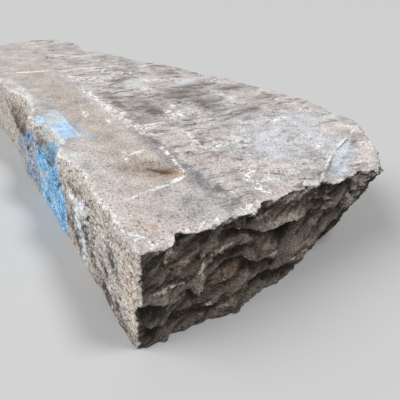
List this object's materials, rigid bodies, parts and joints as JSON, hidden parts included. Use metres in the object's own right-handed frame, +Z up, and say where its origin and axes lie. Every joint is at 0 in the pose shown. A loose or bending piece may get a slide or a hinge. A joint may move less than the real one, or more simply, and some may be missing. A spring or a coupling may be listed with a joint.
{
  "type": "bluestone step",
  "caption": "Thick quarried stone slab used as a step, with a straight dressed riser, a flat worn tread, and broken ends and back.",
  "frame": {"origin": "under the middle of the slab, on the ground it lies on", "axes": "+X along the slab to the wide broken end, +Y from the dressed riser to the broken back, +Z up"},
  "size_m": [1.303, 0.647, 0.18],
  "materials": {
    "bluestone": "weathered"
  },
  "bodies": {
    "root": {"bluestone_step": "bluestone"}
  },
  "joints": []
}
